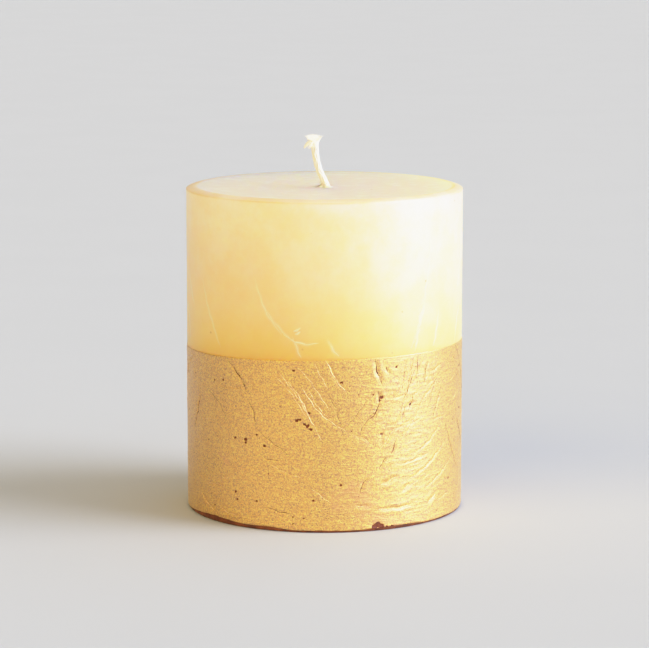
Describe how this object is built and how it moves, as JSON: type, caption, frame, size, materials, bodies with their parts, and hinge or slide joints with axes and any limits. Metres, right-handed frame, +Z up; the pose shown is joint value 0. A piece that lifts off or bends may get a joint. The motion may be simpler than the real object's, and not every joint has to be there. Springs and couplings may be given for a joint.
{
  "type": "unity candle",
  "caption": "Round cast pillar candle in ivory wax, lower half dipped in gold lacquer, with a braided cotton wick held by a metal tab in the base.",
  "frame": {"origin": "centre of the base, on the surface that the candle stands on", "axes": "+Z up along the wick, -Y to the front, +X to the right; the dip line is highest towards +X, and the wick leans to -X"},
  "size_m": [0.076, 0.076, 0.1023],
  "materials": {
    "ivory_wax": "satin, translucent cast wax",
    "pour_wax": "matte, frosted wax",
    "ground_lacquer": "matte red-brown undercoat",
    "gold_lacquer": "satin, granular gold lacquer",
    "core_cotton": "twisted, unbleached",
    "wick_cotton": "braided, primed with wax",
    "tinplate": "bright rolled tinplate",
    "seal_wax": "satin wax"
  },
  "bodies": {
    "root": {"wax_body": "ivory_wax", "top_pour": "pour_wax", "ground_coat": "ground_lacquer", "gold_dip": "gold_lacquer", "wick_core": "core_cotton", "wick_braid": "wick_cotton", "wick_sustainer": "tinplate", "wick_seal": "seal_wax"}
  },
  "joints": []
}
